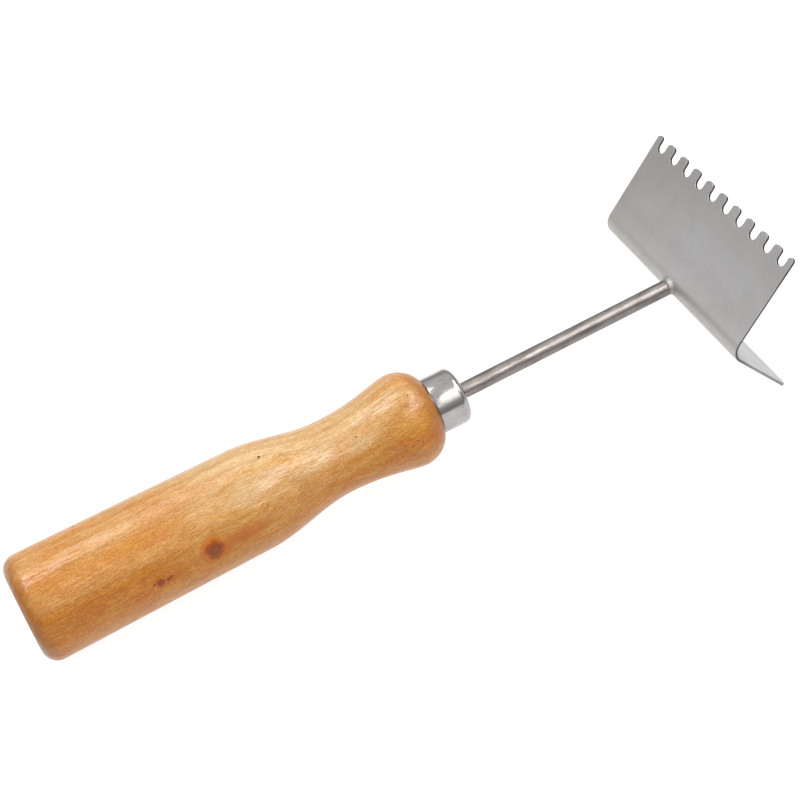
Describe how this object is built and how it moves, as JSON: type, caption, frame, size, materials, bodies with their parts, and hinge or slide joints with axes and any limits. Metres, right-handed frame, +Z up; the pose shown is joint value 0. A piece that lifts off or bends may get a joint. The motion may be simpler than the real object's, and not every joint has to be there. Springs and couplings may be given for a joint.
{
  "type": "uncapping fork",
  "caption": "Hand tool for uncapping honeycomb: turned wooden handle, ferrule, round steel shank, and an L-bent sheet head with a toothed flange and a plain flange.",
  "frame": {"origin": "centre of the handle's flat butt", "axes": "+X along the handle towards the head, +Z up on the side of the toothed flange, +Y along the bend"},
  "size_m": [0.2443, 0.0754, 0.0493],
  "materials": {
    "lacquered_wood": "clear gloss lacquer over turned hardwood",
    "plated_ferrule": "bright plated, lightly scratched",
    "drawn_steel": "bright drawn rod",
    "satin_sheet": "satin stainless sheet",
    "weld_steel": "ground weld"
  },
  "bodies": {
    "root": {"handle": "lacquered_wood", "ferrule": "plated_ferrule", "shank": "drawn_steel", "scraper_head": "satin_sheet", "weld_bead": "weld_steel"}
  },
  "joints": []
}
